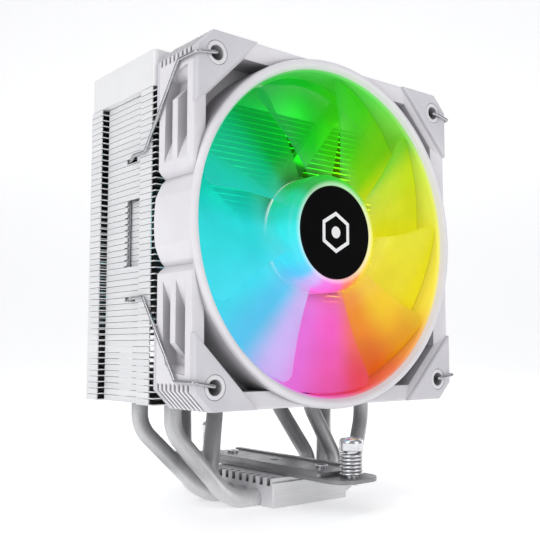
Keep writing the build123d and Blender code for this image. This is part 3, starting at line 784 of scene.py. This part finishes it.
mark_radius = 7.4 * MM
mark_width = 1.5 * MM
mark_lift = 0.04 * MM
mark_sides = 6
mark_steps = 4
dot_radius = 2.1 * MM
dot_steps = 48
points, faces = [], []
mark_depth = hub_disc_front - fan_front - mark_lift
for lift in (mark_depth, mark_depth + 2 * mark_lift):
    for radius in (mark_radius, mark_radius - mark_width):
        for corner in range(mark_sides):
            for step in range(mark_steps):
                first = 2 * math.pi * (corner + 0.5) / mark_sides
                a = fan_point(radius, first, lift)
                b = fan_point(radius, first + 2 * math.pi / mark_sides, lift)
                points.append(a.lerp(b, step / mark_steps))
count = mark_sides * mark_steps
for step in range(count):
    after = (step + 1) % count
    faces.append((step, after, count + after, count + step))
    faces.append((2 * count + after, 2 * count + step, 3 * count + step, 3 * count + after))
    faces.append((after, step, 2 * count + step, 2 * count + after))
    faces.append((count + step, count + after, 3 * count + after, 3 * count + step))
start = len(points)
for lift in (mark_depth, mark_depth + 2 * mark_lift):
    for step in range(dot_steps):
        points.append(fan_point(dot_radius, 2 * math.pi * step / dot_steps, lift))
back = start + dot_steps
faces.append(tuple(range(start, back)))
faces.append(tuple(range(back + dot_steps - 1, back - 1, -1)))
for step in range(dot_steps):
    after = (step + 1) % dot_steps
    faces.append((start + after, start + step, back + step, back + after))
mark = mesh_piece("hub_mark", points, faces, (white_mark,), "rotor")
sharpen(mark, 30)


# ---- springs with closed, ground ends --------------------------------------------------------

spring_turns = 6.5
spring_wire = 0.5 * MM
closed_turn = 0.9
spring_steps = 48
wire_sides = 14
end_taper = 0.35


def spring_rise(turn, low, high):
    """Height of the wire's centre after this many turns: closed at both ends, open between."""
    gap = 1.06 * 2 * spring_wire
    if turn < closed_turn:
        return low + gap * turn
    if turn > spring_turns - closed_turn:
        return high - gap * (spring_turns - turn)
    share = (turn - closed_turn) / (spring_turns - 2 * closed_turn)
    first = low + gap * closed_turn
    last = high - gap * closed_turn
    return first + (last - first) * share


for end_name in ("front", "rear"):
    node = f"screw_spring_{end_name}"
    low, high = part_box(node)
    middle = (low + high) / 2
    coil_radius = (high.x - low.x) / 2 - spring_wire
    rings = int(spring_turns * spring_steps) + 1
    points = []
    for ring in range(rings):
        turn = ring / spring_steps
        angle = 2 * math.pi * turn
        from_end = min(turn, spring_turns - turn)
        taper = min(1.0, end_taper + (1 - end_taper) * from_end / end_taper)
        height = spring_rise(turn, low.z + spring_wire, high.z - spring_wire)
        outward = Vector((math.cos(angle), math.sin(angle), 0))
        for side in range(wire_sides):
            tilt = 2 * math.pi * side / wire_sides
            points.append(
                Vector((middle.x, middle.y, height))
                + outward * (coil_radius + spring_wire * math.cos(tilt))
                + Vector((0, 0, spring_wire * taper * math.sin(tilt)))
            )
    faces = grid_faces(rings, wire_sides, closed_columns=True)
    faces.append(tuple(range(wire_sides - 1, -1, -1)))
    faces.append(tuple(range((rings - 1) * wire_sides, rings * wire_sides)))
    name = f"spring_{end_name}"
    spring = mesh_piece(name, points, faces, (bright_steel,), "root")
    sharpen(spring, 60)
    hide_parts(node)
    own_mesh(spring)

# ---- stage, lights and camera ----------------------------------------------------------------


def floor_material():
    """Pale matt paper with a little light of its own."""
    made = Surface("floor_white", (0.93, 0.93, 0.935, 1), 0.7)
    made.vary_colour(made.noise(3, 2.0), (0.915, 0.915, 0.92, 1))
    made.vary_roughness(made.noise(8, 2.0), 0.05)
    made.set(Emission_Color=(1, 1, 1, 1), Emission_Strength=0.36)
    return made.material


floor_half = 3.0
floor_flat = 0.9
floor_bend = 0.5
wall_height = 2.0
profile = [(-floor_half, 0.0), (floor_flat, 0.0)]
profile += [
    (floor_flat + floor_bend * math.sin(t), floor_bend * (1 - math.cos(t)))
    for t in (math.radians(7.5 * k) for k in range(1, 13))
]
profile += [(floor_flat + floor_bend, wall_height)]
view_direction = Vector((0.632, 0.775, 0)).normalized()
view_side = Vector((view_direction.y, -view_direction.x, 0))
points = []
for along, height in profile:
    for side in (-floor_half, floor_half):
        points.append(view_direction * along + view_side * side + Vector((0, 0, height)))
mesh = bpy.data.meshes.new("floor")
mesh.from_pydata([tuple(p) for p in points], [], grid_faces(len(profile), 2))
for polygon in mesh.polygons:
    polygon.use_smooth = True
mesh.materials.append(floor_material())
floor = bpy.data.objects.new("floor", mesh)
bpy.context.scene.collection.objects.link(floor)

world = bpy.data.worlds.new("studio")
world.use_nodes = True
world.node_tree.nodes["Background"].inputs["Color"].default_value = (0.96, 0.97, 1.0, 1)
world.node_tree.nodes["Background"].inputs["Strength"].default_value = 0.36
bpy.context.scene.world = world

target = Vector((0, 0, fan_axis_z))


def area_light(name, place, size, power):
    """A white rectangular light that faces the middle of the fan."""
    data = bpy.data.lights.new(name, "AREA")
    data.shape = "RECTANGLE"
    data.size = size[0]
    data.size_y = size[1]
    data.energy = power
    made = bpy.data.objects.new(name, data)
    made.location = place
    made.rotation_euler = (target - Vector(place)).to_track_quat("-Z", "Y").to_euler()
    bpy.context.scene.collection.objects.link(made)


area_light("key_left", (-0.85, -0.15, 0.55), (0.6, 0.9), 3.4)
area_light("fill_front", (0.15, -1.1, 0.45), (0.8, 0.8), 2.3)
area_light("top", (0.0, 0.1, 1.1), (0.9, 0.9), 2.4)
area_light("rim_right", (0.9, 0.2, 0.4), (0.4, 0.9), 1.5)

# the fan's own coloured light, thrown back onto the struts and the fins
lamp_count = 12
lamp_circle = 40.0 * MM
lamp_size = 26.0 * MM
lamp_depth = 16.2 * MM
lamp_power = 0.013
lamp_spread = math.radians(110)


def hue_at(degrees):
    """The lit disc's colour at this angle, blended between its two nearest hues."""
    for (first, low), (last, high) in zip(hues, hues[1:]):
        if first <= degrees <= last:
            share = (degrees - first) / (last - first)
            blend = [a + (b - a) * share for a, b in zip(low, high)]
            return linear(*blend)[:3]


for lamp in range(lamp_count):
    degrees = 360 * lamp / lamp_count
    data = bpy.data.lights.new(f"fan_lamp_{lamp}", "AREA")
    data.shape = "DISK"
    data.size = lamp_size
    data.energy = lamp_power
    data.color = hue_at(degrees)
    data.spread = lamp_spread
    made = bpy.data.objects.new(f"fan_lamp_{lamp}", data)
    made.location = fan_point(lamp_circle, math.radians(degrees), lamp_depth)
    made.rotation_euler = Vector((0, 1, 0)).to_track_quat("-Z", "Z").to_euler()
    made.visible_camera = False
    made.visible_transmission = False
    bpy.context.scene.collection.objects.link(made)

camera_lens = 53.67
camera_place = (-0.1955, -0.2371, 0.0548)
camera_heading = Vector((0.629, 0.771, 0.0953))
camera_data = bpy.data.cameras.new("camera")
camera_data.lens = camera_lens
camera_data.sensor_width = 36.0
camera_data.clip_start = 0.01
camera = bpy.data.objects.new("camera", camera_data)
camera.location = camera_place
camera.rotation_euler = camera_heading.to_track_quat("-Z", "Y").to_euler()
bpy.context.scene.collection.objects.link(camera)
bpy.context.scene.camera = camera
bpy.context.scene.view_settings.view_transform = "Standard"
